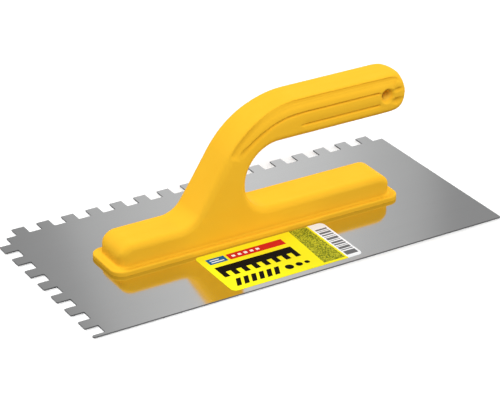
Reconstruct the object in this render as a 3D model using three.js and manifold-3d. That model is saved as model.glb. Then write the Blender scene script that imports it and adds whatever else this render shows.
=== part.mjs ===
// Notched trowel: a stainless blade with square teeth on one long edge and one short edge, a one-piece
// plastic handle with a foot, a swan neck and an open-ended grip, six blind countersunk rivets that hold
// the blade to the foot, and an adhesive size label on the blade.
//
// Millimetres, +Z up. The origin is the middle of the blade's underside. +X runs along the blade, away
// from its toothed short edge, and +Y points to its toothed long edge. The grip's free end points to +X.

import * as THREE from "three";
import { mergeVertices } from "three/addons/utils/BufferGeometryUtils.js";
import Module from "manifold-3d";

// ---- driving dimensions ---------------------------------------------------------------------------
const BLADE_L = 270; // along X
const BLADE_W = 130; // along Y
const BLADE_T = 0.75;
const TOOTH = 8; // tooth width, notch width and notch depth: square teeth on a pitch of 16
const PITCH = 2 * TOOTH;
const LONG_FIRST = 15; // first tooth of the long edge, from the toothed short edge
const LONG_TEETH = 16;
const SHORT_FIRST = 114.3; // top of the first tooth of the short edge, from the plain long edge
const SHORT_TEETH = 7;
const FINGER_W = 2.3; // what is left of the short edge's last tooth, at the plain long edge

const HANDLE_X = 0.5; // the handle sits this far along X from the blade's middle
const FLANGE_L = 193;
const FLANGE_X = 0.45; // the flange's middle, from the handle's
const FLANGE_W = 33;
const FLANGE_T = 2.9;
const FLANGE_R = 7.5;
const FOOT_L = 184.2; // the raised block over the flange, at its base
const FOOT_X = 0.3; // its middle, from the handle's
const FOOT_DRAFT = 1.3; // how far its ends lean in at the top
const FOOT_H = 16.1;
const FOOT_R = 8.5; // rounding of its ends in the side view
const BODY_W = 26; // width of foot, neck and grip
const EDGE_R = 5.2; // rounding along all their edges
const WALL = 2.8;

const NECK_FOOT_X = -43.9; // where the neck's outer line meets the foot's top
const NECK_ANGLE = 58.4; // that line's slope, in degrees
const NECK_FOOT_R = 15;
const NECK_TOP_R = 58.5; // the long outer curve into the grip
const NECK_INNER_X = -8.7;
const GAP_TOP_R = 22; // the finger gap's upper and lower corners
const GAP_FOOT_R = 16.4;

const GRIP_TOP = 79.4; // heights over the blade
const GRIP_BOTTOM = 56;
const DOME = { x: 85.4, z: 67.2, rx: 16.9, ry: 18.4, rz: 16.6 }; // the ellipsoid that ends the grip
const GRIP_END = DOME.x + DOME.rx;

const HOLE_X = 86.4;
const HOLE_Z = 68;
const HOLE_D = 6.6;
const HOLE_RIM_D = 9;

const RIVET_X = [-75, -45, -15, 15, 45, 75];
const RIVET_HEAD_D = 7.6;
const RIVET_SHANK_D = 3.4;
const RIVET_L = 12.5;
const DIMPLE_DEPTH = 1.9;
const BOSS_D = 9;
const CLEAR = 0.3;

const LABEL = { x0: -46.5, x1: 39.8, y0: -61, y1: -18.1, r: 3, t: 0.15 };

// ---- solids ---------------------------------------------------------------------------------------
const wasm = await Module();
wasm.setup();

function solid(geometry, matrix) {
  const g = geometry.clone();
  if (matrix) g.applyMatrix4(matrix);
  g.deleteAttribute("normal");
  g.deleteAttribute("uv");
  const m = mergeVertices(g, 1e-4);
  const made = (triVerts) =>
    new wasm.Manifold(
      new wasm.Mesh({
        numProp: 3,
        vertProperties: new Float32Array(m.attributes.position.array),
        triVerts,
      }),
    );
  const tri = new Uint32Array(m.index.array);
  const body = made(tri);
  if (body.volume() > 0) return body;
  for (let i = 0; i < tri.length; i += 3) [tri[i + 1], tri[i + 2]] = [tri[i + 2], tri[i + 1]];
  return made(tri);
}

function geometryOf(manifold) {
  const m = manifold.getMesh();
  const g = new THREE.BufferGeometry();
  g.setAttribute("position", new THREE.BufferAttribute(m.vertProperties, 3));
  g.setIndex(new THREE.BufferAttribute(m.triVerts, 1));
  g.computeVertexNormals();
  return g;
}

const at = (x, y, z) => new THREE.Matrix4().makeTranslation(x, y, z);
const union = (list) => list.reduce((a, b) => a.add(b));
const box = (x0, x1, y0, y1, z0, z1) =>
  solid(
    new THREE.BoxGeometry(x1 - x0, y1 - y0, z1 - z0),
    at((x0 + x1) / 2, (y0 + y1) / 2, (z0 + z1) / 2),
  );

function prism(points, z0, z1) {
  const shape = new THREE.Shape(points.map((p) => new THREE.Vector2(p[0], p[1])));
  return solid(
    new THREE.ExtrudeGeometry(shape, { depth: z1 - z0, bevelEnabled: false }),
    at(0, 0, z0),
  );
}

// A side-view outline (x, z) swept along Y from y0 to y1, its edges rounded by r if given.
function slab(points, y0, y1, r = 0, steps = 4) {
  const shape = new THREE.Shape(points.map((p) => new THREE.Vector2(p[0], p[1])));
  const g = new THREE.ExtrudeGeometry(shape, {
    depth: y1 - y0 - 2 * r,
    bevelEnabled: r > 0,
    bevelThickness: r,
    bevelSize: r,
    bevelOffset: -r,
    bevelSegments: steps,
    steps: 1,
  });
  const turn = new THREE.Matrix4().makeRotationX(Math.PI / 2);
  return solid(g, at(0, y1 - r, 0).multiply(turn));
}

// A profile of (radius, height) turned about the vertical line through (x, y).
function turned(profile, x, y, segments = 24) {
  const g = new THREE.LatheGeometry(
    profile.map((p) => new THREE.Vector2(p[0], p[1])),
    segments,
  );
  const up = new THREE.Matrix4().makeRotationX(Math.PI / 2);
  return solid(g, at(x, y, 0).multiply(up));
}

// A closed outline whose corners (x, y, radius) are rounded.
function rounded(corners, step = 12) {
  const out = [];
  const n = corners.length;
  for (let i = 0; i < n; i++) {
    const [ax, ay] = corners[(i + n - 1) % n];
    const [bx, by, r] = corners[i];
    const [cx, cy] = corners[(i + 1) % n];
    if (!r) {
      out.push([bx, by]);
      continue;
    }
    const u = new THREE.Vector2(ax - bx, ay - by).normalize();
    const v = new THREE.Vector2(cx - bx, cy - by).normalize();
    const half = Math.acos(THREE.MathUtils.clamp(u.dot(v), -1, 1)) / 2;
    const mid = u.clone().add(v).normalize();
    const o = new THREE.Vector2(bx, by).addScaledVector(mid, r / Math.sin(half));
    const t = r / Math.tan(half);
    const s = new THREE.Vector2(bx, by).addScaledVector(u, t).sub(o);
    const e = new THREE.Vector2(bx, by).addScaledVector(v, t).sub(o);
    const a0 = s.angle();
    let d = e.angle() - a0;
    if (d > Math.PI) d -= 2 * Math.PI;
    if (d < -Math.PI) d += 2 * Math.PI;
    const k = Math.max(2, Math.ceil((Math.abs(d) * 180) / Math.PI / step));
    for (let j = 0; j <= k; j++) {
      const a = a0 + (d * j) / k;
      out.push([o.x + r * Math.cos(a), o.y + r * Math.sin(a)]);
    }
  }
  return out;
}

const roundedRect = (x0, x1, y0, y1, r, step = 15) =>
  rounded(
    [
      [x0, y0, r],
      [x1, y0, r],
      [x1, y1, r],
      [x0, y1, r],
    ],
    step,
  );

// ---- blade ----------------------------------------------------------------------------------------
// (u, v) run from the near corner of the toothed short edge.
function bladeOutline() {
  const p = [];
  const L = BLADE_L;
  const W = BLADE_W;
  const root = W - TOOTH;
  p.push([L, 0]);
  p.push([L, root]);
  for (let k = LONG_TEETH - 1; k >= 0; k--) {
    const a = LONG_FIRST + PITCH * k;
    p.push([a + TOOTH, root], [a + TOOTH, W], [a, W], [a, root]);
  }
  p.push([TOOTH, root]);
  for (let j = 0; j < SHORT_TEETH; j++) {
    const top = SHORT_FIRST - PITCH * j;
    p.push([TOOTH, top], [0, top], [0, top - TOOTH], [TOOTH, top - TOOTH]);
  }
  p.push([TOOTH, FINGER_W], [0.8, FINGER_W], [0, FINGER_W - 0.8], [0, 0]);
  return p.map(([u, v]) => [u - L / 2, v - W / 2]);
}

const HEAD_R = RIVET_HEAD_D / 2;
const SHANK_R = RIVET_SHANK_D / 2;
// The sheet is pressed up into a hollow cone round each rivet.
function blade() {
  let body = prism(bladeOutline(), 0, BLADE_T);
  for (const rx of RIVET_X) {
    const x = rx + HANDLE_X;
    const outer = turned(
      [
        [0, 0.2],
        [HEAD_R + 1.1, 0.2],
        [HEAD_R + 1.1 - (BLADE_T - 0.2), BLADE_T],
        [HEAD_R + 1.1 - (DIMPLE_DEPTH + 0.1 - 0.2), DIMPLE_DEPTH + 0.1],
        [0, DIMPLE_DEPTH + 0.1],
      ],
      x,
      0,
    );
    const inner = turned(
      [
        [0, -1],
        [HEAD_R + CLEAR + 1, -1],
        [HEAD_R + CLEAR, 0],
        [SHANK_R + CLEAR, HEAD_R - SHANK_R],
        [SHANK_R + CLEAR, 4],
        [0, 4],
      ],
      x,
      0,
    );
    body = body.add(outer).subtract(inner);
  }
  return body;
}

// ---- handle ---------------------------------------------------------------------------------------
// Side outline of foot, neck and grip. z = 0 is the blade's top face. The outline runs on below it, and
// the solid is cut off there.
function handleOutline() {
  const slope = Math.tan((NECK_ANGLE * Math.PI) / 180);
  const h = FOOT_L / 2;
  return rounded(
    [
      [FOOT_X - h, -8, 0],
      [FOOT_X + h, -8, 0],
      [FOOT_X + h - FOOT_DRAFT, FOOT_H, FOOT_R],
      [NECK_INNER_X, FOOT_H, GAP_FOOT_R],
      [NECK_INNER_X, GRIP_BOTTOM, GAP_TOP_R],
      [GRIP_END + 12, GRIP_BOTTOM, 0],
      [GRIP_END + 12, GRIP_TOP, 0],
      [NECK_FOOT_X + (GRIP_TOP - FOOT_H) / slope, GRIP_TOP, NECK_TOP_R],
      [NECK_FOOT_X, FOOT_H, NECK_FOOT_R],
      [FOOT_X - h + FOOT_DRAFT, FOOT_H, FOOT_R],
    ],
    9,
  );
}

// What is cut away so that the grip ends in a dome.
function domeCutter() {
  const g = new THREE.SphereGeometry(1, 40, 28);
  const m = at(DOME.x, 0, DOME.z)
    .multiply(new THREE.Matrix4().makeScale(DOME.rx, DOME.ry, DOME.rz))
    .multiply(new THREE.Matrix4().makeRotationX(Math.PI / 2));
  return box(DOME.x, GRIP_END + 20, -21, 21, GRIP_BOTTOM - 5, GRIP_TOP + 5).subtract(solid(g, m));
}

// A round-bottomed groove: a tube along points (x, y, z), its middle on the surface.
function groove(points, radius, steps, side) {
  const n = 8;
  const section = new THREE.Shape(
    Array.from({ length: n }, (_, i) => {
      const a = (2 * Math.PI * (i + 0.5)) / n;
      return new THREE.Vector2(radius * Math.cos(a), radius * Math.sin(a));
    }),
  );
  const extrudePath = new THREE.CatmullRomCurve3(
    points.map(([x, y, z]) => new THREE.Vector3(x, side * y, z)),
    false,
    "centripetal",
  );
  return solid(new THREE.ExtrudeGeometry(section, { steps, extrudePath, bevelEnabled: false }));
}

// The grooves of one side: x, distance from the middle plane, height over the blade.
const GROOVES = [
  {
    radius: 1.1,
    steps: 34,
    points: [
      [93.4, 11.3, 77.4],
      [89.8, 10.8, 78.2],
      [72, 10.6, 78.4],
      [42, 10.5, 78.5],
      [26, 10.5, 78.4],
      [12, 10.7, 76.6],
      [-0.2, 11.4, 71.2],
      [-11.2, 12.1, 62.5],
      [-15.9, 12.5, 57.5],
      [-19, 13, 52.5],
    ],
  },
  {
    radius: 1.15,
    steps: 24,
    points: [
      [80.5, 13.1, 71],
      [50.4, 13.1, 71.1],
      [30.4, 13.1, 71.2],
      [21.5, 13.1, 70.8],
      [15, 13.1, 69.7],
      [4, 13.1, 65.4],
      [-6.4, 13.1, 58.7],
      [-12.8, 13.1, 53],
    ],
  },
  {
    radius: 1.15,
    steps: 1,
    points: [
      [91, 13.1, 70.7],
      [96.4, 12.7, 71],
    ],
  },
  {
    radius: 1.1,
    steps: 1,
    points: [
      [27.5, 13.1, 63.3],
      [81, 13.1, 63.3],
    ],
  },
  {
    radius: 1.5,
    steps: 1,
    points: [
      [91, 13.2, 64.1],
      [96.4, 12.9, 64.3],
    ],
  },
];

function handle() {
  const half = BODY_W / 2;
  let body = slab(handleOutline(), -half, half, EDGE_R, 4);
  body = body.subtract(domeCutter());
  body = body.subtract(box(-150, 150, -40, 40, -20, 0));

  const flange = solid(
    new THREE.ExtrudeGeometry(
      new THREE.Shape(
        roundedRect(
          FLANGE_X - FLANGE_L / 2,
          FLANGE_X + FLANGE_L / 2,
          -FLANGE_W / 2,
          FLANGE_W / 2,
          FLANGE_R,
        ).map(
          (p) => new THREE.Vector2(p[0], p[1]),
        ),
      ),
      {
        depth: FLANGE_T - 1,
        bevelEnabled: true,
        bevelThickness: 1,
        bevelSize: 1,
        bevelOffset: -1,
        bevelSegments: 2,
      },
    ),
  ).subtract(box(-150, 150, -40, 40, -5, 0));
  body = body.add(flange);

  // Grooves along both sides of the grip.
  const cut = [];
  for (const side of [-1, 1]) for (const g of GROOVES) cut.push(groove(g.points, g.radius, g.steps, side));
  body = body.subtract(union(cut));

  // Hanging hole across the grip, countersunk at both ends.
  const rim = HOLE_RIM_D / 2;
  const r = HOLE_D / 2;
  const c = rim - r;
  const hole = new THREE.LatheGeometry(
    [
      [0, -half - 1],
      [rim + 1, -half - 1],
      [rim + 0.2, -half - 0.2],
      [r, -half + c],
      [r, half - c],
      [rim + 0.2, half + 0.2],
      [rim + 1, half + 1],
      [0, half + 1],
    ].map((p) => new THREE.Vector2(p[0], p[1])),
    24,
  );
  body = body.subtract(solid(hole, at(HOLE_X, 0, HOLE_Z)));

  // The foot is open underneath: a pocket with cross ribs, a middle rib and a boss over each rivet.
  const px = FOOT_L / 2 - FOOT_DRAFT - WALL;
  const py = half - WALL;
  let pocket = slab(
    rounded([
      [-px, -2, 0],
      [px, -2, 0],
      [px, FOOT_H - WALL, 3],
      [-px, FOOT_H - WALL, 3],
    ]),
    -py,
    py,
    0,
  );
  // It runs on up into the neck.
  pocket = pocket.add(
    slab(
      [
        [-37, FOOT_H - WALL - 1],
        [NECK_INNER_X - 3.4, FOOT_H - WALL - 1],
        [NECK_INNER_X - 3.4, 36],
        [-14.5, 43],
        [-22, 43],
      ],
      -py + 1,
      py - 1,
      0,
    ),
  );
  const ribs = [box(-px - 1, px + 1, -0.9, 0.9, -3, FOOT_H)];
  for (const x of [-60, -30, 0, 30, 60]) ribs.push(box(x - 0.9, x + 0.9, -py - 1, py + 1, -3, FOOT_H));
  for (const x of RIVET_X)
    ribs.push(
      turned(
        [
          [0, -3],
          [BOSS_D / 2, -3],
          [BOSS_D / 2, FOOT_H - 1],
          [0, FOOT_H - 1],
        ],
        x,
        0,
      ),
    );
  pocket = pocket.subtract(union(ribs));
  body = body.subtract(pocket);

  // Each boss is hollowed for the blade's dimple and drilled for the rivet.
  const top = DIMPLE_DEPTH + 0.1 - BLADE_T;
  for (const x of RIVET_X)
    body = body.subtract(
      turned(
        [
          [0, -1],
          [HEAD_R + 1.1 + CLEAR + 1 - BLADE_T + 0.5, -1],
          [HEAD_R + 1.1 + CLEAR + 0.5 - BLADE_T, 0],
          [HEAD_R + 1.1 + CLEAR + 0.5 - BLADE_T - top, top],
          [SHANK_R + CLEAR, top + CLEAR],
          [SHANK_R + CLEAR, RIVET_L + 1 - BLADE_T],
          [0, RIVET_L + 1 - BLADE_T],
        ],
        x,
        0,
      ),
    );
  return body;
}

// ---- rivets ---------------------------------------------------------------------------------------
// A countersunk head flush with the blade's underside, and a ringed shank that bites into its boss.
function rivet(x) {
  const profile = [
    [0, 0],
    [HEAD_R, 0],
    [HEAD_R, 0.12],
    [SHANK_R, HEAD_R - SHANK_R + 0.12],
  ];
  for (let z = HEAD_R - SHANK_R + 2; z < RIVET_L - 2.2; z += 1.6)
    profile.push([SHANK_R, z], [SHANK_R - 0.35, z + 0.5], [SHANK_R, z + 1.1]);
  profile.push([SHANK_R, RIVET_L - 1.2], [SHANK_R - 0.9, RIVET_L], [0, RIVET_L]);
  return turned(profile, x, 0, 20);
}

// ---- label ----------------------------------------------------------------------------------------
const label = prism(
  roundedRect(LABEL.x0, LABEL.x1, LABEL.y0, LABEL.y1, LABEL.r, 18),
  BLADE_T,
  BLADE_T + LABEL.t,
);

// ---- assembly -------------------------------------------------------------------------------------
const steel = { color: 0xb4b6b8, roughness: 0.3, metalness: 1 };
const yellow = { color: 0xf5b820, roughness: 0.42, metalness: 0 };
const aluminium = { color: 0xc4c6c9, roughness: 0.4, metalness: 1 };
const paper = { color: 0xf7e11e, roughness: 0.35, metalness: 0 };

const group = new THREE.Group();
function place(name, manifold, look, parent = group) {
  const mesh = new THREE.Mesh(geometryOf(manifold), new THREE.MeshStandardMaterial(look));
  mesh.name = name;
  parent.add(mesh);
  return mesh;
}

place("blade", blade(), steel);
place("size_label", label, paper);

const onBlade = new THREE.Group();
onBlade.position.set(HANDLE_X, 0, BLADE_T);
group.add(onBlade);
place("handle", handle(), yellow, onBlade);

RIVET_X.forEach((x, i) => place(`foot_rivet_${i + 1}`, rivet(x + HANDLE_X), aluminium));

export default group;
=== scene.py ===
"""Notched trowel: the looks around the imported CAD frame.

The handle and the blade are remade here as finer meshes of the same shape and size. The label and the six
rivets are the CAD's own solids. Every material is built from nodes.
"""

import math

import bmesh
import bpy
import numpy as np
from mathutils import Matrix, Vector


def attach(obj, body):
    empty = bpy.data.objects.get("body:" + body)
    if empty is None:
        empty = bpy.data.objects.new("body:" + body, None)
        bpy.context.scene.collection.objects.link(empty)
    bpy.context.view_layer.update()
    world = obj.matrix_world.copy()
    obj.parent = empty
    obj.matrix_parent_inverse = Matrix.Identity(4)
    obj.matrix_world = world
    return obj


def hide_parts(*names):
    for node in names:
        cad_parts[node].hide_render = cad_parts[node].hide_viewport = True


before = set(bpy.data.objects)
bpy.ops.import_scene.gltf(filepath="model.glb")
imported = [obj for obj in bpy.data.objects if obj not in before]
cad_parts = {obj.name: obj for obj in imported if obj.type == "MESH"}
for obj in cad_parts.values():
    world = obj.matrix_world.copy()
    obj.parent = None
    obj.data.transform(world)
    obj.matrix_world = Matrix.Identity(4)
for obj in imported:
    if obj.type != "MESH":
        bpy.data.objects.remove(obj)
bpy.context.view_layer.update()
scene = bpy.context.scene

MM = 0.001
BLADE_T = 0.75
HANDLE_X = 0.5

# ------------------------------------------------------------------------------------------------------
# camera
# ------------------------------------------------------------------------------------------------------
AZ, EL, ROLL = math.radians(-32.08), math.radians(27.47), math.radians(0.87)
TARGET = Vector((18.6, 27.2, BLADE_T)) * MM
DIST = 1.2412
back = Vector((math.sin(AZ) * math.cos(EL), -math.cos(AZ) * math.cos(EL), math.sin(EL)))
right = Vector((0, 0, 1)).cross(back).normalized()
up = back.cross(right)
c, s = math.cos(ROLL), math.sin(ROLL)
right, up = right * c + up * s, -right * s + up * c
cam = bpy.data.objects.new("camera", bpy.data.cameras.new("camera"))
scene.collection.objects.link(cam)
m = Matrix((right, up, back)).transposed().to_4x4()
m.translation = TARGET + back * DIST
cam.matrix_world = m
cam.data.sensor_width = 36
cam.data.lens = 2087.2 * 36 / 500
cam.data.clip_start, cam.data.clip_end = 0.05, 60
scene.camera = cam


# ------------------------------------------------------------------------------------------------------
# meshes: helpers. All lengths are millimetres until placed() turns them into metres.
# ------------------------------------------------------------------------------------------------------
def fillet(points, density=32):
    """Closed outline from corners (x, y, radius)."""
    out = []
    corners = [np.array(p[:2], float) for p in points]
    n = len(corners)
    for i in range(n):
        a, b, c2 = corners[i - 1], corners[i], corners[(i + 1) % n]
        r = points[i][2]
        if r <= 0:
            out.append(b[None])
            continue
        u = (a - b) / np.linalg.norm(a - b)
        v = (c2 - b) / np.linalg.norm(c2 - b)
        half = np.arccos(np.clip(u @ v, -1, 1)) / 2
        t = r / np.tan(half)
        mid = (u + v) / np.linalg.norm(u + v)
        o = b + mid * r / np.sin(half)
        s0, e0 = b + u * t - o, b + v * t - o
        a0, a1 = np.arctan2(s0[1], s0[0]), np.arctan2(e0[1], e0[0])
        d = (a1 - a0 + np.pi) % (2 * np.pi) - np.pi
        k = max(2, int(np.ceil(density * abs(d) / (np.pi / 2))))
        ang = a0 + np.linspace(0, 1, k + 1) * d
        out.append(np.stack([o[0] + r * np.cos(ang), o[1] + r * np.sin(ang)], 1))
    return np.concatenate(out)


def mesh_object(name, verts, faces):
    me = bpy.data.meshes.new(name)
    me.from_pydata([tuple(map(float, v)) for v in verts], [], [tuple(map(int, f)) for f in faces])
    me.validate()
    me.update()
    o = bpy.data.objects.new(name, me)
    scene.collection.objects.link(o)
    return o


def prism(outline, z0, z1, axis="z"):
    """Outline extruded. axis z: outline is (x, y). axis y: outline is (x, z), swept from y=z0 to y=z1."""
    n = len(outline)
    area = 0.5 * sum(
        outline[i][0] * outline[(i + 1) % n][1] - outline[(i + 1) % n][0] * outline[i][1] for i in range(n)
    )
    if area < 0:
        outline = outline[::-1]
    if axis == "z":
        low = [(p[0], p[1], z0) for p in outline]
        high = [(p[0], p[1], z1) for p in outline]
    else:
        low = [(p[0], z1, p[1]) for p in outline]
        high = [(p[0], z0, p[1]) for p in outline]
    faces = [list(range(n))[::-1], list(range(n, 2 * n))]
    faces += [[i, (i + 1) % n, n + (i + 1) % n, n + i] for i in range(n)]
    return mesh_object("part", low + high, faces)


def block(x0, x1, y0, y1, z0, z1):
    return prism([(x0, y0), (x1, y0), (x1, y1), (x0, y1)], z0, z1)


def lathe(profile, x, y, n=48):
    """(radius, height) pairs turned about the vertical at x, y. The profile starts and ends on the axis."""
    verts, faces = [(x, y, profile[0][1])], []
    rings = []
    for r, h in profile[1:-1]:
        rings.append(len(verts))
        verts += [(x + r * math.cos(2 * math.pi * i / n), y + r * math.sin(2 * math.pi * i / n), h) for i in range(n)]
    verts.append((x, y, profile[-1][1]))
    last = len(verts) - 1
    for i in range(n):
        j = (i + 1) % n
        faces.append([0, rings[0] + j, rings[0] + i])
        for a, b in zip(rings, rings[1:]):
            faces.append([a + i, a + j, b + j, b + i])
        faces.append([last, rings[-1] + i, rings[-1] + j])
    return mesh_object("part", verts, faces)


def boolean(o, other, operation):
    """o changed by other, which is used up."""
    mod = o.modifiers.new("b", "BOOLEAN")
    mod.operation = operation
    mod.solver = "MANIFOLD"
    mod.object = other
    dg = bpy.context.evaluated_depsgraph_get()
    dg.update()
    made = bpy.data.meshes.new_from_object(o.evaluated_get(dg))
    o.modifiers.clear()
    o.data = made
    bpy.data.objects.remove(other)
    return o


def placed(o, name, body="root", shift=(0, 0, 0)):
    """The mesh goes from millimetres to metres, and rides on its body."""
    o.data.transform(Matrix.Scale(MM, 4) @ Matrix.Translation(shift))
    o.name = name
    o.data.name = name
    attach(o, body)
    return o


def sharpen(o, degrees, flat_z=False):
    """Smooth shading, with creases where faces meet at more than this angle. flat_z keeps level faces flat."""
    me = o.data
    bm = bmesh.new()
    bm.from_mesh(me)
    limit = math.radians(degrees)
    for f in bm.faces:
        f.smooth = not (flat_z and abs(f.normal.z) > 0.9999)
    for e in bm.edges:
        e.smooth = len(e.link_faces) == 2 and e.calc_face_angle(0) < limit
    bm.to_mesh(me)
    bm.free()


# ------------------------------------------------------------------------------------------------------
# handle: a signed field, meshed and then cut open underneath. x, y, z from the foot's middle, z = 0 at
# the blade's top face.
# ------------------------------------------------------------------------------------------------------
HALF_W = 13.0
TOP, BOTTOM = 79.3, 56.0
FOOT_H = 16.05
FLANGE_T = 2.9
GRIP_X = 125.0


def side_outline():
    slope = math.tan(math.radians(58.4))
    foot = -43.9
    return fillet(
        [
            (-91.8, -8, 0),
            (-90.4, FOOT_H, 9.3),
            (foot, FOOT_H, 15),
            (foot + (TOP - FOOT_H) / slope, TOP, 58.5),
            (GRIP_X, TOP, 0),
            (GRIP_X, BOTTOM, 0),
            (-8.7, BOTTOM, 22),
            (-8.7, FOOT_H, 16.4),
            (91.2, FOOT_H, 8.5),
            (92.5, -8, 0),
        ]
    )


def polygon_distance(x, z, outline):
    p = np.stack([x.ravel(), z.ravel()], 1)
    best = np.full(len(p), 1e18)
    sign = np.ones(len(p))
    j = len(outline) - 1
    for i in range(len(outline)):
        e, w = outline[j] - outline[i], p - outline[i]
        ee = e @ e
        if ee > 1e-12:
            b = w - np.clip((w @ e) / ee, 0, 1)[:, None] * e
            best = np.minimum(best, (b * b).sum(1))
            c1, c2 = p[:, 1] >= outline[i, 1], p[:, 1] < outline[j, 1]
            c3 = e[0] * w[:, 1] > e[1] * w[:, 0]
            sign = np.where((c1 & c2 & c3) | (~c1 & ~c2 & ~c3), -sign, sign)
        j = i
    return (sign * np.sqrt(best)).reshape(x.shape)


class Table:
    """A distance in the side view, looked up with linear weights between the four nearest grid points."""

    def __init__(self, outline, x0, x1, z0, z1, step):
        self.x0, self.z0, self.step = x0, z0, step
        xs, zs = np.arange(x0, x1 + step, step), np.arange(z0, z1 + step, step)
        gx, gz = np.meshgrid(xs, zs, indexing="ij")
        self.d = polygon_distance(gx, gz, outline)

    def __call__(self, x, z):
        u = np.clip((x - self.x0) / self.step, 1, self.d.shape[0] - 2.001)
        v = np.clip((z - self.z0) / self.step, 1, self.d.shape[1] - 2.001)
        i, j = u.astype(int), v.astype(int)
        a, b = u - i, v - j
        g = self.d
        return (g[i, j] * (1 - a) + g[i + 1, j] * a) * (1 - b) + (g[i, j + 1] * (1 - a) + g[i + 1, j + 1] * a) * b


def smax(a, b, k):
    h = np.maximum(k - np.abs(a - b), 0) / k
    return np.maximum(a, b) + h * h * k * 0.25


def smin(a, b, k):
    return -smax(-a, -b, k)


def step_between(a, b, t):
    t = np.clip((t - a) / (b - a), 0, 1)
    return t * t * (3 - 2 * t)


def swept(d2, dy, r):
    """A side shape swept sideways, with its edges rounded by r."""
    qx, qy = d2 + r, dy + r
    return np.minimum(np.maximum(qx, qy), 0) + np.hypot(np.maximum(qx, 0), np.maximum(qy, 0)) - r


# Grooves of one side: x, |y|, height, half-width, depth.
GROOVES = [
    [
        (95.2, 11.8, 76.0, 0.7, 0.1),
        (92.7, 11.1, 77.6, 0.8, 0.6),
        (89.8, 10.8, 78.15, 0.9, 1.05),
        (72.1, 10.65, 78.3, 0.9, 1.05),
        (42.0, 10.5, 78.4, 0.9, 1.05),
        (26.0, 10.5, 78.35, 0.9, 1.05),
        (18.9, 10.55, 77.85, 0.95, 1.05),
        (12.0, 10.7, 76.6, 1.05, 0.9),
        (5.5, 11.0, 74.3, 1.2, 0.95),
        (-0.2, 11.4, 71.2, 1.4, 1.0),
        (-5.8, 11.75, 67.2, 1.6, 1.0),
        (-11.2, 12.0, 62.5, 1.8, 1.0),
        (-15.9, 12.2, 57.55, 1.9, 0.9),
        (-18.2, 12.3, 54.2, 1.8, 0.6),
        (-19.4, 12.45, 52.0, 1.5, 0.1),
    ],
    [
        (80.3, 13.0, 70.95, 0.75, 1.1),
        (50.5, 13.0, 71.1, 0.75, 1.1),
        (30.5, 13.0, 71.2, 0.75, 1.1),
        (21.5, 13.0, 70.75, 0.8, 1.1),
        (15.0, 13.0, 69.7, 0.85, 1.1),
        (9.2, 13.0, 67.9, 0.95, 1.15),
        (4.0, 13.0, 65.4, 1.05, 1.2),
        (-1.9, 13.0, 61.85, 1.2, 1.2),
        (-6.4, 13.0, 58.7, 1.35, 1.15),
        (-10.1, 13.0, 55.9, 1.5, 1.0),
        (-12.2, 13.0, 54.0, 1.5, 0.7),
        (-13.5, 13.0, 52.1, 1.3, 0.1),
    ],
    [(27.0, 13.0, 63.3, 0.65, 0.3), (31, 13.0, 63.3, 0.75, 1.05), (80.7, 13.0, 63.3, 0.75, 1.05)],
    [(90.4, 13.0, 70.7, 1.0, 0.3), (93.4, 13.0, 71.0, 1.4, 1.1), (96.6, 12.6, 71.1, 1.0, 0.2)],
    [(89.8, 13.0, 64.3, 1.4, 0.4), (93.2, 13.0, 64.1, 2.2, 1.4), (96.4, 12.6, 64.5, 1.5, 0.3)],
]


def eased(line):
    """The line through the same points, with each stretch of a bend in two straight pieces."""
    p = [np.array(a, float) for a in line]
    out = []
    for k in range(len(p) - 1):
        a, b = p[max(k - 1, 0)], p[min(k + 2, len(p) - 1)]
        out.append(tuple(p[k]))
        if len(p) > 4 and p[k][0] < 30:
            out.append(tuple((9 * (p[k] + p[k + 1]) - a - b) / 16))
    return out + [tuple(p[-1])]


GROOVES = [eased(line) for line in GROOVES]
# how far the surface drops beside each groove and over what width: upper side, lower side
SWELL = [((0.0, 2.0), (2.0, 4.2)), ((0.15, 2.2), (0.45, 2.3)), ((0.3, 2.2), (0.35, 2.3)), ((0.0, 1.0), (0.0, 1.0)), ((0.0, 1.0), (0.0, 1.0))]
HOLE = (86.4, 68.0, 3.1)


def grooves(x, y, z, d):
    """The nearest groove's distance along the surface, half-width, depth, how far below it the point is, swell."""
    best = np.full(x.shape, 50.0)
    wide, deep, below, swell = np.ones(x.shape), np.ones(x.shape), np.zeros(x.shape), np.zeros(x.shape)
    p = np.stack([x, y, z], -1)
    for line, (over, under) in zip(GROOVES, SWELL):
        best_line, near_line = np.full(x.shape, 50.0), np.zeros(x.shape)
        for a, b in zip(line, line[1:]):
            a, b = np.array(a), np.array(b)
            if a[0] > b[0]:
                a, b = b, a
            e = b[:3] - a[:3]
            t = np.clip(((p - a[:3]) @ e) / (e @ e), 0, 1)
            q = p - (a[:3] + t[..., None] * e)
            r = np.sqrt(np.maximum((q * q).sum(-1) - d * d, 0))
            closest = r < best
            best = np.where(closest, r, best)
            wide = np.where(closest, a[3] + t * (b[3] - a[3]), wide)
            deep = np.where(closest, a[4] + t * (b[4] - a[4]), deep)
            flat = np.hypot(e[0], e[2])
            side_ = (q[..., 0] * e[2] - q[..., 2] * e[0]) / flat
            below = np.where(closest, side_, below)
            closer = r < best_line
            best_line = np.where(closer, r, best_line)
            down = step_between(-0.6, 0.6, side_)
            drop = (1 - down) * over[0] * np.exp(-((r / over[1]) ** 2)) + down * under[0] * np.exp(-((r / under[1]) ** 2))
            drop = drop * step_between(0.2, 1.0, a[4] + t * (b[4] - a[4]))
            near_line = np.where(closer, drop, near_line)
        swell = np.maximum(swell, near_line * (best_line < 20))
    return best, wide, deep, below, swell


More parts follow.
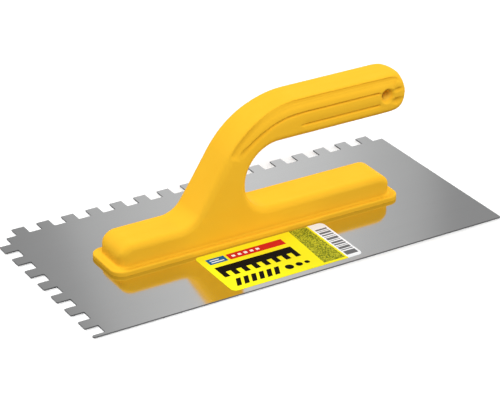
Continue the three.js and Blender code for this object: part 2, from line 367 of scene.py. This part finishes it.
def painted_shade_and_light(x, y, z):
    """Painted shade and light, per point: 0 on open surfaces, up to 1 of painted shade down in a groove, fading slowly
    on its lower side, and along the foot's junction with its flange; -1, painted light, in the hanging hole.
    """
    ay = np.abs(y)
    out = np.zeros(x.shape)
    near = z > 46
    if near.any():
        d = plain_field(x[near], ay[near], z[near])
        far, wide, deep, below, _ = grooves(x[near], ay[near], z[near], np.minimum(np.abs(d), 1.5))
        t = far / wide
        # painted shade: darkest along each groove line, fading slowly below it
        line = np.exp(-((t / 0.95) ** 2))
        lower = 0.15 * np.exp(-far / 1.5) * (below > 0)
        shade = np.maximum(line, lower) * np.clip(deep / 1.1, 0, 1) * (d > -1.9) * (far < 9)
        # painted light: the hanging hole and its mouth get a brighter colour
        r = np.hypot(x[near] - HOLE[0], z[near] - HOLE[1])
        mouth = np.clip((HOLE[2] + 0.35 - r) / 0.7, 0, 1)
        out[near] = shade * (1 - mouth) - mouth
    # painted shade where the foot meets its flange, along the long sides
    corner = (z < 9) & (z > 1.6) & (ay > 12.5)
    if corner.any():
        wall = np.hypot(np.maximum(ay[corner] - 13.2, 0), np.maximum(z[corner] - 3.2, 0) * 1.5)
        out[corner] = np.maximum(out[corner], 1.1 * np.exp(-((wall / 2.5) ** 2)) * step_between(91, 84, np.abs(x[corner])))
    return np.clip(out, -1, 1.2)


side = Table(side_outline(), -104, 128, -10, 88, 0.4)


def plain_field(x, ay, z):
    """Foot, flange, neck and grip without grooves or holes."""
    edge = 5.4 - 1.6 * step_between(6, 12, z) + 0.7 * step_between(19, 36, z)
    edge = edge + 0.9 * step_between(62, 72, z) * step_between(-20, 30, x)
    d = swept(side(x, z), ay - HALF_W, edge)

    # the grip's domed end
    u, v = np.maximum(x - 84.9, 0) / 17.4, ay / 19.0
    w = np.where(z > 67.5, (z - 67.5) / 18.0, (67.5 - z) / 15.2)
    power = 1.85 + 0.4 * step_between(72, 62, z)
    e = ((u**2.25 + v**2.25) ** (power / 2.25) + w**power) ** (1 / power)
    dome = np.where(u > 0, (e - 1) * 14.0, -20.0)
    d = np.where(z > 40, smax(d, dome, 2.2), d)

    # flange, its edge well rounded
    qx, qy = np.abs(x - 0.53) - 96.42 + 7.2, ay - 16.5 + 7.2
    plan = np.minimum(np.maximum(qx, qy), 0) + np.hypot(np.maximum(qx, 0), np.maximum(qy, 0)) - 7.2
    flange = np.where(z > 1.6, swept(plan, z - FLANGE_T, 1.0), swept(plan, -z - 1.3, 0.12))
    return smin(d, flange, 1.2)


def handle_field(x, y, z):
    ay = np.abs(y)
    d = plain_field(x, ay, z)
    near = (np.abs(d) < 3.5) & (z > 46)
    if near.any():
        xn, yn, zn, dn = x[near], ay[near], z[near], d[near]
        far, wide, deep, below, swell = grooves(xn, yn, zn, dn)
        # ribs swell between the grooves; each groove has a steep upper side and an easier lower one
        dn = dn + swell * step_between(9.9, 11.5, yn)
        t = far / np.where(below > 0, wide * 1.3, wide * 0.9)
        floor = dn + deep * (1 - t * t)
        dn = np.where(t < 1.7, smax(dn, floor, 0.35), dn)
        r = np.hypot(xn - HOLE[0], zn - HOLE[1])
        dn = dn - 0.22 * np.exp(-(((r - 4.9) / 0.8) ** 2)) * (yn > 9)
        dn = smax(dn, HOLE[2] - r, 3.4)
        d = d.copy()
        d[near] = dn
    inside = (z > 46) & (d < -3.4)
    if inside.any():
        r = np.hypot(x[inside] - HOLE[0], z[inside] - HOLE[1])
        d = d.copy()
        d[inside] = np.maximum(d[inside], HOLE[2] - r)
    return np.maximum(d, -z - 1.5)


def axis(points):
    """Grid lines: (from, to, spacing) stretches joined up."""
    out = [points[0][0]]
    for a, b, h in points:
        n = max(1, round((b - a) / h))
        out += list(a + (b - a) * np.arange(1, n + 1) / n)
    return np.array(out)


def surface(field, xs, ys, zs, steps=6):
    """Surface nets on a grid of uneven spacing, then each point is moved onto the surface."""
    gx, gy, gz = np.meshgrid(xs, ys, zs, indexing="ij")
    f = field(gx.ravel(), gy.ravel(), gz.ravel()).reshape(gx.shape)
    neg = f < 0
    nx, ny, nz = f.shape
    total = np.zeros((nx - 1, ny - 1, nz - 1, 3))
    count = np.zeros((nx - 1, ny - 1, nz - 1))
    pos = np.stack([gx, gy, gz], -1)
    corners = [(i, j, k) for i in (0, 1) for j in (0, 1) for k in (0, 1)]
    cell = lambda a, c0: a[c0[0] : nx - 1 + c0[0], c0[1] : ny - 1 + c0[1], c0[2] : nz - 1 + c0[2]]
    for c0 in corners:
        for ax in range(3):
            if c0[ax]:
                continue
            c1 = list(c0)
            c1[ax] = 1
            fa, fb = cell(f, c0), cell(f, c1)
            hit = (fa < 0) != (fb < 0)
            t = np.where(hit, fa / np.where(hit, fa - fb, 1), 0)[..., None]
            q = cell(pos, c0) * (1 - t) + cell(pos, c1) * t
            total += np.where(hit[..., None], q, 0)
            count += hit
    live = count > 0
    number = np.full(live.shape, -1)
    number[live] = np.arange(live.sum())
    verts = total[live] / count[live][:, None]

    faces = []
    for ax in range(3):
        lo = [slice(None)] * 3
        hi = [slice(None)] * 3
        lo[ax], hi[ax] = slice(0, -1), slice(1, None)
        a, b = neg[tuple(lo)], neg[tuple(hi)]
        cross = a != b
        o1, o2 = (ax + 1) % 3, (ax + 2) % 3
        idx = np.argwhere(cross)
        keep = (idx[:, o1] > 0) & (idx[:, o2] > 0) & (idx[:, o1] < f.shape[o1] - 1) & (idx[:, o2] < f.shape[o2] - 1)
        idx = idx[keep]
        flip = a[tuple(idx.T)]
        quad = []
        for d1, d2 in ((-1, -1), (0, -1), (0, 0), (-1, 0)):
            q = idx.copy()
            q[:, o1] += d1
            q[:, o2] += d2
            quad.append(number[tuple(q.T)])
        quad = np.stack(quad, 1)
        quad[~flip] = quad[~flip][:, ::-1]
        faces.append(quad)
    faces = np.concatenate(faces)

    # neighbours, for an even spread of the points along the surface
    e0 = np.concatenate([faces[:, i] for i in range(4)])
    e1 = np.concatenate([faces[:, (i + 1) % 4] for i in range(4)])
    n = len(verts)
    degree = np.bincount(e0, minlength=n) + np.bincount(e1, minlength=n)
    h = 0.05
    for it in range(steps):
        if it < steps - 2:
            mean = np.stack(
                [
                    (np.bincount(e0, verts[e1, k], n) + np.bincount(e1, verts[e0, k], n)) / degree
                    for k in range(3)
                ],
                1,
            )
            verts = verts + 0.5 * (mean - verts)
        g = gradient(field, verts, h)
        d = field(*verts.T)
        g2 = np.maximum((g * g).sum(1), 0.05)
        move = np.clip(d / g2, -0.6, 0.6)
        verts = verts - g * move[:, None]
    return verts, faces


def gradient(field, p, h=0.05):
    g = np.zeros_like(p)
    for k in range(3):
        a, b = p.copy(), p.copy()
        a[:, k] += h
        b[:, k] -= h
        g[:, k] = (field(*a.T) - field(*b.T)) / (2 * h)
    return g


def make_handle():
    xs = axis([(-98.4, -82, 0.62), (-82, -50, 1.25), (-50, 34, 0.62), (34, 76, 1.25), (76, 104.4, 0.56)])
    half = axis([(0, 8, 0.8), (8, 18.4, 0.48)])
    ys = np.concatenate([-half[::-1][:-1], half])
    zs = axis([(-2.6, 3.2, 0.45), (3.2, 8, 0.8), (8, 19.6, 0.55), (19.6, 48, 0.71), (48, 80.2, 0.46)])
    verts, faces = surface(handle_field, xs, ys, zs)
    o = mesh_object("part", verts, faces)

    # cut flat where it rests on the blade, and open underneath
    o = boolean(o, block(-120, 120, -30, 30, -9, 0.01), "DIFFERENCE")
    wall = 2.8
    px, py = 91 - wall, HALF_W - wall
    pocket = prism(
        fillet([(-px, -4, 0), (px, -4, 0), (px, FOOT_H - wall, 3), (-px, FOOT_H - wall, 3)], 8), -py, py, "y"
    )
    core = prism(
        [
            (-37, FOOT_H - wall - 1),
            (-12.1, FOOT_H - wall - 1),
            (-12.1, 36),
            (-14.5, 43),
            (-22, 43),
        ],
        -py + 1,
        py - 1,
        "y",
    )
    pocket = boolean(pocket, core, "UNION")
    pocket = boolean(pocket, block(-px - 1, px + 1, -0.9, 0.9, -5, FOOT_H), "DIFFERENCE")
    for x in (-60, -30, 0, 30, 60):
        pocket = boolean(pocket, block(x - 0.9, x + 0.9, -py - 1, py + 1, -5, FOOT_H), "DIFFERENCE")
    for x in (-75, -45, -15, 15, 45, 75):
        pocket = boolean(pocket, lathe([(0, -5), (4.5, -5), (4.5, 15.7), (0, 15.7)], x, 0), "DIFFERENCE")
    o = boolean(o, pocket, "DIFFERENCE")
    for x in (-75, -45, -15, 15, 45, 75):
        bore = [(0, -1), (5.95, -1), (4.95, 0), (3.7, 1.25), (2.0, 1.55), (2.0, 12.75), (0, 12.75)]
        o = boolean(o, lathe(bore, x, 0), "DIFFERENCE")
    sharpen(o, 38)
    # per-point painted shade (grooves, foot-flange junction) and painted light (hanging hole), read by the plastic's
    # colour
    at = np.empty(len(o.data.vertices) * 3)
    o.data.vertices.foreach_get("co", at)
    shade = o.data.attributes.new("painted_shade_and_light", "FLOAT", "POINT")
    shade.data.foreach_set("value", painted_shade_and_light(*at.reshape(-1, 3).T).astype(np.float32))
    print("handle faces", len(o.data.polygons), "triangles", sum(len(f.vertices) - 2 for f in o.data.polygons))
    o = placed(o, "handle_body", shift=(HANDLE_X, 0, BLADE_T))
    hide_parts("handle")
    return o


# ------------------------------------------------------------------------------------------------------
# blade
# ------------------------------------------------------------------------------------------------------
def blade_outline():
    """The sheet's edge, from the near corner of the toothed short edge; the punch leaves small radii."""
    inner, outer = 0.55, 0.35
    p = [(270, 0, 0.8), (270, 122, outer)]
    for k in range(15, -1, -1):
        a = 15 + 16 * k
        p += [(a + 8, 122, inner), (a + 8, 130, outer), (a, 130, outer), (a, 122, inner)]
    p += [(8, 122, outer)]
    for j in range(7):
        top = 114.3 - 16 * j
        p += [(8, top, inner), (0, top, outer), (0, top - 8, outer), (8, top - 8, inner)]
    p += [(8, 2.3, inner), (0, 2.3, 0.9), (0, 0, 0.9)]
    out = fillet([(u - 135, v - 65, r) for u, v, r in p], 4)
    keep = [i for i in range(len(out)) if np.linalg.norm(out[i] - out[i - 1]) > 1e-4]
    return out[keep]


def make_blade():
    o = prism(blade_outline(), 0, BLADE_T)
    # deburred edges
    bm = bmesh.new()
    bm.from_mesh(o.data)
    flat = [e for e in bm.edges if abs(e.verts[0].co.z - e.verts[1].co.z) < 1e-6]
    bmesh.ops.bevel(bm, geom=flat, offset=0.07, segments=2, profile=0.5, affect="EDGES", clamp_overlap=True)
    bm.to_mesh(o.data)
    bm.free()
    for x in (-75, -45, -15, 15, 45, 75):
        x += HANDLE_X
        head = 3.8
        outer = [(0, 0.2), (head + 1.1, 0.2), (head + 0.55, 0.75), (head - 0.7, 2.0), (0, 2.0)]
        inner = [(0, -1), (head + 1.3, -1), (head + 0.3, 0), (2.0, 2.1), (2.0, 4), (0, 4)]
        o = boolean(o, lathe(outer, x, 0), "UNION")
        o = boolean(o, lathe(inner, x, 0), "DIFFERENCE")
    sharpen(o, 50, flat_z=True)
    o = placed(o, "blade_sheet")
    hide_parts("blade")
    return o


# ------------------------------------------------------------------------------------------------------
# materials
# ------------------------------------------------------------------------------------------------------
class Nodes:
    """A material's node tree, with arithmetic on its sockets."""

    def __init__(self, name):
        self.material = bpy.data.materials.new(name)
        self.material.use_nodes = True
        self.tree = self.material.node_tree
        self.tree.nodes.clear()
        self.out = self.tree.nodes.new("ShaderNodeOutputMaterial")
        self.shader = self.tree.nodes.new("ShaderNodeBsdfPrincipled")
        self.tree.links.new(self.shader.outputs[0], self.out.inputs["Surface"])

    def new(self, kind, **settings):
        node = self.tree.nodes.new(kind)
        for k, v in settings.items():
            setattr(node, k, v)
        return node

    def put(self, socket, value):
        if isinstance(value, Value):
            self.tree.links.new(value.socket, socket)
        elif isinstance(value, bpy.types.NodeSocket):
            self.tree.links.new(value, socket)
        elif isinstance(value, (tuple, list)) and len(value) == 3 and socket.type == "RGBA":
            socket.default_value = (*value, 1)
        else:
            socket.default_value = value

    def math(self, operation, a, b=None, c=None, clamp=False):
        node = self.new("ShaderNodeMath", operation=operation, use_clamp=clamp)
        for i, v in enumerate((a, b, c)):
            if v is not None:
                self.put(node.inputs[i], v)
        return Value(self, node.outputs[0])

    def mix(self, fac, a, b):
        """Colour a where fac is 0, b where it is 1."""
        node = self.new("ShaderNodeMix", data_type="RGBA", blend_type="MIX", clamp_factor=True)
        self.put(node.inputs[0], fac)
        self.put(node.inputs[6], a)
        self.put(node.inputs[7], b)
        return node.outputs[2]

    def noise(self, vector, scale, detail=2.0, roughness=0.5):
        node = self.new("ShaderNodeTexNoise", noise_dimensions="3D")
        self.put(node.inputs["Vector"], vector)
        node.inputs["Scale"].default_value = scale
        node.inputs["Detail"].default_value = detail
        node.inputs["Roughness"].default_value = roughness
        return Value(self, node.outputs["Fac"])

    def place(self):
        """Object coordinates, which are metres in the row frame, as millimetres."""
        if not hasattr(self, "_place"):
            coord = self.new("ShaderNodeTexCoord")
            scale = self.new("ShaderNodeVectorMath", operation="SCALE")
            self.tree.links.new(coord.outputs["Object"], scale.inputs[0])
            scale.inputs["Scale"].default_value = 1000.0
            self._place = scale.outputs[0]
        return self._place

    def stretched(self, sx, sy, sz):
        node = self.new("ShaderNodeVectorMath", operation="MULTIPLY")
        self.tree.links.new(self.place(), node.inputs[0])
        node.inputs[1].default_value = (sx, sy, sz)
        return node.outputs[0]

    def xyz(self):
        node = self.new("ShaderNodeSeparateXYZ")
        self.tree.links.new(self.place(), node.inputs[0])
        return [Value(self, node.outputs[i]) for i in range(3)]

    def bump(self, height, distance, strength=1.0, normal=None):
        node = self.new("ShaderNodeBump")
        node.inputs["Strength"].default_value = strength
        node.inputs["Distance"].default_value = distance
        self.put(node.inputs["Height"], height)
        if normal is not None:
            self.tree.links.new(normal, node.inputs["Normal"])
        return node.outputs[0]

    def set(self, **values):
        names = {
            "base": "Base Color",
            "metallic": "Metallic",
            "roughness": "Roughness",
            "ior": "IOR",
            "specular": "Specular IOR Level",
            "normal": "Normal",
            "anisotropic": "Anisotropic",
            "coat": "Coat Weight",
            "coat_roughness": "Coat Roughness",
            "subsurface": "Subsurface Weight",
        }
        for k, v in values.items():
            self.put(self.shader.inputs[names[k]], v)


class Value:
    def __init__(self, nodes, socket):
        self.nodes, self.socket = nodes, socket

    def __add__(self, o):
        return self.nodes.math("ADD", self, o)

    def __sub__(self, o):
        return self.nodes.math("SUBTRACT", self, o)

    def __rsub__(self, o):
        return self.nodes.math("SUBTRACT", o, self)

    def __mul__(self, o):
        return self.nodes.math("MULTIPLY", self, o)

    def __truediv__(self, o):
        return self.nodes.math("DIVIDE", self, o)

    __radd__, __rmul__ = __add__, __mul__

    def above(self, limit):
        return self.nodes.math("GREATER_THAN", self, limit)

    def below(self, limit):
        return self.nodes.math("LESS_THAN", self, limit)

    def between(self, a, b):
        """1 where a < self < b."""
        return self.nodes.math("COMPARE", self, (a + b) / 2, (b - a) / 2)

    def wrapped(self, period):
        return self.nodes.math("FLOORED_MODULO", self, period)

    def range(self, a, b, c, d):
        """a..b turned into c..d, and kept between them."""
        node = self.nodes.new("ShaderNodeMapRange", clamp=True)
        self.nodes.put(node.inputs[0], self)
        for i, v in enumerate((a, b, c, d)):
            node.inputs[i + 1].default_value = v
        return Value(self.nodes, node.outputs[0])


def plastic():
    n = Nodes("yellow_plastic")
    broad = n.noise(n.place(), 0.045, 2)
    fine = n.noise(n.place(), 3.2, 3, 0.6)
    flow = n.noise(n.stretched(0.02, 0.2, 0.2), 1.0, 3)
    # painted shade and painted light, read from the per-point attribute
    groove = Value(n, n.new("ShaderNodeAttribute", attribute_type="GEOMETRY", attribute_name="painted_shade_and_light").outputs["Fac"])
    base = n.mix(broad.range(0.35, 0.65, 0, 1), (0.885, 0.482, 0.026), (0.90, 0.497, 0.029))
    base = n.mix(flow.range(0.45, 0.75, 0, 0.35), base, (0.9, 0.47, 0.023))
    # painted shade: darker colour in the grooves, below them and where the foot meets its flange
    base = n.mix(groove * 0.33, base, (0.57, 0.285, 0.012))
    # painted light: brighter colour in and around the hanging hole
    base = n.mix(groove * -0.85, base, (1.0, 0.72, 0.10))
    n.set(base=base, roughness=fine.range(0.3, 0.7, 0.44, 0.54) + groove * 0.1, specular=0.025)
    n.set(normal=n.bump(fine, 0.00002, 0.35))
    return n.material


def steel():
    n = Nodes("stainless_sheet")
    lines = n.noise(n.stretched(0.03, 9.0, 1.0), 1.0, 4, 0.65)
    patch = n.noise(n.place(), 0.03, 3)
    smear = n.noise(n.stretched(0.012, 0.12, 1.0), 1.0, 2)
    rough = lines.range(0.3, 0.7, 0.085, 0.105) + patch.range(0.3, 0.7, -0.006, 0.01)
    base = n.mix(lines.range(0.3, 0.7, 0, 1), (0.735, 0.727, 0.728), (0.755, 0.747, 0.748))
    base = n.mix(smear.range(0.4, 0.7, 0, 0.3), base, (0.722, 0.714, 0.715))
    n.set(base=base, metallic=1.0, roughness=rough)
    n.set(normal=n.bump(lines, 0.000004, 0.08))
    return n.material


def cut_edge():
    n = Nodes("sheared_edge_painted_shade")
    lines = n.noise(n.stretched(5.0, 5.0, 0.4), 1.0, 3, 0.6)
    x, y, z = n.xyz()
    burnish = z.range(0.25, 0.5, 0, 1)
    # painted shade: the cut edge's dark base colour stands in for the dark reflection on these side faces; the lighter
    # band near the top is the burnished part of the cut
    base = n.mix(lines.range(0.3, 0.7, 0, 1), (0.10, 0.10, 0.105), (0.17, 0.17, 0.175))
    base = n.mix(burnish * 0.35, base, (0.2, 0.2, 0.205))
    n.set(base=base, metallic=1.0, roughness=lines.range(0.3, 0.7, 0.42, 0.6))
    n.set(normal=n.bump(lines, 0.00003, 0.5))
    return n.material


def aluminium():
    n = Nodes("rivet_metal")
    turn = n.noise(n.stretched(0.4, 0.4, 8.0), 1.0, 3)
    n.set(
        base=n.mix(turn.range(0.3, 0.7, 0, 1), (0.66, 0.66, 0.67), (0.78, 0.78, 0.79)),
        metallic=1.0,
        roughness=turn.range(0.3, 0.7, 0.28, 0.42),
    )
    n.set(normal=n.bump(turn, 0.00002, 0.3))
    return n.material


def label_print():
    """A generic print: bars, blocks and dots that spell nothing. u and v are millimetres from the label's near left corner."""
    n = Nodes("label_film")
    x, y, z = n.xyz()
    u, v = x + 46.5, y + 61.0
    speck = n.noise(n.place(), 1.6, 2, 0.6)
    grain = n.noise(n.place(), 9.0, 2)

    colour = n.mix(grain.range(0.3, 0.7, 0, 1), (0.90, 0.80, 0.014), (0.93, 0.83, 0.018))
    black, red, blue = (0.004, 0.005, 0.006), (0.62, 0.02, 0.016), (0.008, 0.12, 0.30)

    # red band with a row of white squares, top left; a blue tab at its left end
    band = v.between(31.5, 37.8)
    colour = n.mix(band * u.between(17.5, 54.5), colour, red)
    colour = n.mix(band * u.between(4.2, 16.0), colour, blue)
    colour = n.mix(v.between(33.6, 35.7) * u.between(20.0, 40.0) * u.wrapped(4.0).below(2.1), colour, (0.9, 0.9, 0.88))
    colour = n.mix(v.between(33.0, 33.9) * u.between(6.0, 14.2), colour, (0.85, 0.88, 0.9))
    colour = n.mix(v.between(35.2, 36.1) * u.between(6.0, 12.0), colour, (0.85, 0.88, 0.9))

    # a black comb of square teeth across the middle
    comb = v.between(21.0, 27.6) * u.between(4.2, 54.5)
    colour = n.mix(comb, colour, black)
    teeth = v.between(15.6, 21.2) * u.between(4.2, 54.5) * (u - 4.2).wrapped(6.7).below(3.5)
    colour = n.mix(teeth, colour, black)

    # bottom row: slanted bars, then three discs
    lean = u - (v - 4.0) * 0.45
    slant = lean.wrapped(5.0).below(3.1) * lean.between(4.9, 33.3)
    colour = n.mix(v.between(4.0, 11.6) * slant, colour, black)
    for cx, r in ((41.5, 2.6), (48.0, 2.1), (53.3, 1.6)):
        du, dv = u - cx, v - 7.8
        colour = n.mix((du * du + dv * dv).below(r * r), colour, black)

    # speckled olive panel, its near side cut on a slant
    olive = n.mix(speck.range(0.44, 0.56, 0, 1), (0.11, 0.15, 0.01), (0.56, 0.53, 0.03))
    edge = (u - v * 0.06).above(60.8) * u.below(75.0) * v.above(1.8)
    colour = n.mix(edge, colour, olive)

    # white strip with grey bars
    white = u.above(76.2)
    colour = n.mix(white, colour, (0.84, 0.87, 0.90))
    bars = [(3.0, 7.4), (8.6, 9.6), (10.4, 12.9), (13.7, 14.4), (15.4, 17.0), (17.8, 19.9), (21.0, 21.7)]
    bars += [(22.6, 25.2), (26.1, 26.8), (27.9, 29.4), (30.4, 32.6), (33.5, 34.1), (35.0, 36.6)]
    mask = v.between(*bars[0])
    for b in bars[1:]:
        mask = mask + v.between(*b)
    colour = n.mix(mask * u.between(77.2, 85.0), colour, (0.14, 0.145, 0.155))

    n.set(base=colour, roughness=grain.range(0.3, 0.7, 0.42, 0.5), specular=0.035)
    n.set(normal=n.bump(grain, 0.00001, 0.2))
    return n.material


def dress(o, *materials):
    o.data.materials.clear()
    for m1 in materials:
        o.data.materials.append(m1)


handle = make_handle()
dress(handle, plastic())
for p in handle.data.polygons:
    p.material_index = 0

blade = make_blade()
dress(blade, steel(), cut_edge())
for p in blade.data.polygons:
    c3 = p.center / MM
    rim = abs(p.normal.z) < 0.55 and not (abs(c3.y) < 6 and abs(c3.x) < 82)
    p.material_index = 1 if rim else 0

dress(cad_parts["size_label"], label_print())
metal = aluminium()
for i in range(1, 7):
    dress(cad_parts[f"foot_rivet_{i}"], metal)

# ------------------------------------------------------------------------------------------------------
# floor and light
# ------------------------------------------------------------------------------------------------------
floor = mesh_object(
    "floor", [(-0.85, -0.85, -0.0003), (0.85, -0.85, -0.0003), (0.85, 0.85, -0.0003), (-0.85, 0.85, -0.0003)], [(0, 1, 2, 3)]
)
n = Nodes("floor")
n.set(base=(0.94, 0.94, 0.94), roughness=1.0, specular=0.0)
dress(floor, n.material)
floor.visible_diffuse = False

world = bpy.data.worlds.new("world")
world.use_nodes = True
world.node_tree.nodes["Background"].inputs[0].default_value = (0.985, 1.0, 1.0, 1)
world.node_tree.nodes["Background"].inputs[1].default_value = 0.338
# the backdrop itself is white paper; what it sheds on the object stays as above
backdrop = world.node_tree.nodes.new("ShaderNodeBackground")
backdrop.inputs[0].default_value = (1, 1, 1, 1)
backdrop.inputs[1].default_value = 1.0
path = world.node_tree.nodes.new("ShaderNodeLightPath")
either = world.node_tree.nodes.new("ShaderNodeMixShader")
world.node_tree.links.new(path.outputs["Is Camera Ray"], either.inputs[0])
world.node_tree.links.new(world.node_tree.nodes["Background"].outputs[0], either.inputs[1])
world.node_tree.links.new(backdrop.outputs[0], either.inputs[2])
world.node_tree.links.new(either.outputs[0], world.node_tree.nodes["World Output"].inputs[0])
scene.world = world


def area(name, where, toward, size, watts, shape="RECTANGLE", size_y=None):
    light = bpy.data.lights.new(name, "AREA")
    light.shape = shape
    light.size = size
    if shape in ("RECTANGLE", "ELLIPSE"):
        light.size_y = size_y or size
    light.energy = watts
    o = bpy.data.objects.new(name, light)
    scene.collection.objects.link(o)
    o.location = where
    o.rotation_mode = "QUATERNION"
    o.rotation_quaternion = (Vector(toward) - Vector(where)).to_track_quat("-Z", "Y")
    o.visible_camera = False
    return o


def polar(azimuth, elevation, distance, height=0.03):
    """Azimuth 0 is the -Y side and 90 the +X side."""
    az, el = math.radians(azimuth), math.radians(elevation)
    return (
        distance * math.cos(el) * math.sin(az),
        -distance * math.cos(el) * math.cos(az),
        distance * math.sin(el) + height,
    )


def softbox(name, azimuth, elevation, distance, size, size_y, level):
    """level is the light that a surface facing it sends back if it is white."""
    return area(name, polar(azimuth, elevation, distance), (0, 0, 0.03), size, level * math.pi**2 * distance**2, size_y=size_y)


for name, azimuth, elevation, size, size_y, level in (
    ("front", -20, 46, 1.5, 1.2, 0.82),
    ("rear", -156, 40, 1.1, 1.0, 0.62),
    ("right", 78, 12, 1.0, 1.0, 0.35),
    ("right_rear", 120, 12, 1.0, 1.0, 0.32),
):
    # the blade mirrors only the card below, so that its shading stays calm
    softbox(name, azimuth, elevation, 1.9, size, size_y, level).visible_glossy = False

# a card on the far side that the blade mirrors: brightest in its middle, with a shoulder to each side
card = area("card", (0.61, 0.98, 0.62), (0, 0, 0), 1.1, 1.572, size_y=0.9)
centre = Vector((0.61, 0.98, 0.62))
across = Vector((0, 0, 1)).cross(centre).normalized()
upward = centre.normalized().cross(across)
card.data.use_nodes = True
card.data.color = (0.985, 1.0, 0.995)
tree = card.data.node_tree
emit = next(x for x in tree.nodes if x.type == "EMISSION")
geo = tree.nodes.new("ShaderNodeNewGeometry")


def on_card(axis_):
    node = tree.nodes.new("ShaderNodeVectorMath")
    node.operation = "DOT_PRODUCT"
    tree.links.new(geo.outputs["Position"], node.inputs[0])
    node.inputs[1].default_value = axis_
    return node.outputs["Value"]


def card_math(operation, *values):
    node = tree.nodes.new("ShaderNodeMath")
    node.operation = operation
    for k, v in enumerate(values):
        if isinstance(v, bpy.types.NodeSocket):
            tree.links.new(v, node.inputs[k])
        else:
            node.inputs[k].default_value = v
    return node.outputs[0]


cx = on_card(across)
cy = card_math("SUBTRACT", on_card(upward), centre.dot(upward))
lean = card_math("MULTIPLY", cy, card_math("MULTIPLY", card_math("MINIMUM", card_math("MAXIMUM", cx, 0.0), 0.15), 0.4 / 0.15))
where = card_math("ADD", card_math("DIVIDE", card_math("ADD", cx, lean), 0.6), 0.5)
ramp = tree.nodes.new("ShaderNodeValToRGB")
ramp.color_ramp.interpolation = "LINEAR"
CARD = [
    (-262, 0.0), (-247, 0.03), (-234, 0.12), (-221, 0.215), (-208, 0.29), (-196, 0.33), (-172, 0.39), (-148, 0.46),
    (-124, 0.56), (-99, 0.66), (-75, 0.72), (-38, 0.79), (-10, 0.843), (10, 0.83), (30, 0.76), (60, 0.65), (80, 0.60),
    (100, 0.57), (120, 0.526), (140, 0.484), (160, 0.43), (180, 0.395), (200, 0.34), (210, 0.28), (220, 0.20),
    (230, 0.13), (240, 0.09), (260, 0.045), (290, 0.0),
]
elements = ramp.color_ramp.elements
while len(elements) > 1:
    elements.remove(elements[-1])
for k, (t0, v0) in enumerate(CARD):
    element = elements[0] if k == 0 else elements.new(0.5 + t0 / 600)
    element.position = 0.5 + t0 / 600
    element.color = (v0, v0, v0, 1)
tree.links.new(where, ramp.inputs[0])
tree.links.new(ramp.outputs[0], emit.inputs["Strength"])

scene.view_settings.view_transform = "Standard"
scene.view_settings.look = "None"
scene.view_settings.exposure = 0.0
scene.view_settings.gamma = 1.0
